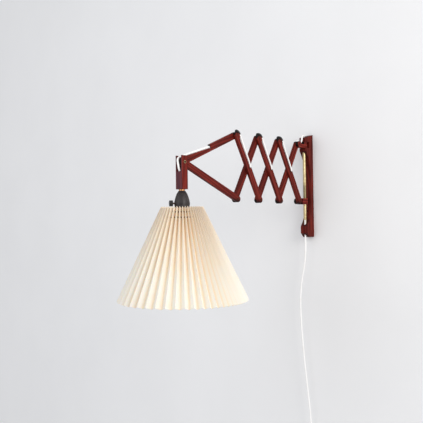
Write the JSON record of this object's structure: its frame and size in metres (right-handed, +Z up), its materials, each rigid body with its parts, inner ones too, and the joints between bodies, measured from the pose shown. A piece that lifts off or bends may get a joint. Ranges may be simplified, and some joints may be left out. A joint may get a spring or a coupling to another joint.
{
  "type": "accordion wall lamp",
  "caption": "Wooden scissor-arm wall lamp that folds out from a slim wall bracket along a brass tube, with a white cord along its bars, a turn switch and a pleated cone shade",
  "frame": {"origin": "centre of the wall bracket's back face, half way up its height", "axes": "+Y points into the wall, so the arm reaches out along -Y; +Z up; +X to the right for someone facing the wall"},
  "size_m": [0.3455, 0.7404, 1.161],
  "materials": {
    "bracket_wood": "oiled dark red-brown hardwood",
    "bar_wood": "oiled dark red-brown hardwood with near-black end grain",
    "block_wood": "oiled dark red-brown hardwood",
    "stem_wood": "oiled dark red-brown hardwood",
    "brass_tube": "polished, lightly aged",
    "pivot_brass": "aged, dull",
    "rivet_brass": "polished",
    "nipple_brass": "plain turned",
    "collar_brass": "warm aged brass",
    "socket_brass": "plain pressed",
    "holder": "moulded brown-black, fluted, satin",
    "nut": "moulded brown-black, satin",
    "knob": "moulded brown-black, satin",
    "insert": "unglazed white",
    "carrier_wire": "plated wire",
    "shade": "stiffened pleated ivory shade material",
    "cord": "white round sheathed cord, satin",
    "tie": "white soft tie",
    "plug": "moulded white",
    "plug_pins": "bright pins"
  },
  "bodies": {
    "bracket": {"wall_bracket": "bracket_wood", "rod_tube": "brass_tube", "bracket_cord": "cord", "hanging_cord": "cord", "cord_coil": "cord", "coil_tie": "tie", "plug_body": "plug", "plug_pins": "plug_pins"},
    "top_carriage": {"top_block": "block_wood", "top_block_pin": "pivot_brass"},
    "slider": {"slider_block": "block_wood", "slider_pin": "pivot_brass"},
    "rising_1": {"rising_bar_1": "bar_wood", "rising_pins_1": "pivot_brass", "rising_cord_1": "cord"},
    "falling_1": {"falling_bar_1": "bar_wood", "falling_pin_1": "pivot_brass", "falling_cord_1": "cord"},
    "rising_2": {"rising_bar_2": "bar_wood", "rising_pins_2": "pivot_brass", "rising_cord_2": "cord"},
    "falling_2": {"falling_bar_2": "bar_wood", "falling_pin_2": "pivot_brass", "falling_cord_2": "cord"},
    "rising_3": {"rising_bar_3": "bar_wood", "rising_pins_3": "pivot_brass", "rising_cord_3": "cord"},
    "falling_3": {"falling_bar_3": "bar_wood", "falling_pin_3": "pivot_brass", "falling_cord_3": "cord"},
    "upper_arm": {"upper_arm": "bar_wood", "upper_arm_cord": "cord"},
    "lower_arm": {"lower_arm": "bar_wood"},
    "head": {"stem": "stem_wood", "stem_rivet": "rivet_brass", "stem_cord": "cord", "stem_nipple": "nipple_brass", "stem_collar": "collar_brass", "holder_cap": "holder", "holder_skirt": "holder", "socket_insert": "insert", "socket_shell": "socket_brass", "centre_contact": "socket_brass", "shade_nut": "nut", "shade_carrier": "carrier_wire", "pleated_shade": "shade"},
    "switch": {"switch_knob": "knob", "switch_shaft": "pivot_brass"}
  },
  "joints": [
    {"name": "arm_swing", "type": "hinge", "parent": "bracket", "child": "top_carriage", "pos_m": [0, -0.03, 0.1323], "axis": [0, 0, 1], "range_deg": [-80, 80]},
    {"name": "arm_fold", "type": "hinge", "parent": "top_carriage", "child": "rising_3", "pos_m": [0, -0.066, 0.1323], "axis": [1, 0, 0], "range_deg": [-41, 14]},
    {"name": "cross_3", "type": "hinge", "parent": "rising_3", "child": "falling_3", "pos_m": [0, -0.11482, 0.04047], "axis": [1, 0, 0], "range_deg": [-29, 83]},
    {"name": "foot_3", "type": "hinge", "parent": "falling_3", "child": "slider", "pos_m": [0, -0.066, -0.05135], "axis": [1, 0, 0], "range_deg": [-42, 15]},
    {"name": "top_2", "type": "hinge", "parent": "falling_3", "child": "rising_2", "pos_m": [0, -0.16365, 0.1323], "axis": [1, 0, 0], "range_deg": [-83, 29]},
    {"name": "cross_2", "type": "hinge", "parent": "rising_2", "child": "falling_2", "pos_m": [0, -0.21247, 0.04047], "axis": [1, 0, 0], "range_deg": [-29, 83]},
    {"name": "top_1", "type": "hinge", "parent": "falling_2", "child": "rising_1", "pos_m": [0, -0.2613, 0.1323], "axis": [1, 0, 0], "range_deg": [-83, 29]},
    {"name": "cross_1", "type": "hinge", "parent": "rising_1", "child": "falling_1", "pos_m": [0, -0.31012, 0.04047], "axis": [1, 0, 0], "range_deg": [-29, 83]},
    {"name": "top_0", "type": "hinge", "parent": "falling_1", "child": "upper_arm", "pos_m": [0, -0.35895, 0.1323], "axis": [1, 0, 0], "range_deg": [-54.71, 19.34]},
    {"name": "foot_0", "type": "hinge", "parent": "rising_1", "child": "lower_arm", "pos_m": [0, -0.35895, -0.05135], "axis": [1, 0, 0], "range_deg": [-19.34, 54.71]},
    {"name": "head_tilt", "type": "hinge", "parent": "upper_arm", "child": "head", "pos_m": [0, -0.56764, 0.04047], "axis": [1, 0, 0], "range_deg": [-30, 15]},
    {"name": "switch_turn", "type": "hinge", "parent": "head", "child": "switch", "pos_m": [-0.01, -0.58496, -0.06813], "axis": [-0.5, -0.866, 0], "range_deg": [0, 90]}
  ],
  "couplings": [
    {"joint": "cross_3", "follows": "arm_fold", "ratio": -2},
    {"joint": "foot_3", "follows": "arm_fold", "ratio": 1},
    {"joint": "top_2", "follows": "arm_fold", "ratio": 2},
    {"joint": "cross_2", "follows": "arm_fold", "ratio": -2},
    {"joint": "top_1", "follows": "arm_fold", "ratio": 2},
    {"joint": "cross_1", "follows": "arm_fold", "ratio": -2},
    {"joint": "top_0", "follows": "arm_fold", "ratio": 1.31},
    {"joint": "foot_0", "follows": "arm_fold", "ratio": -1.31}
  ]
}
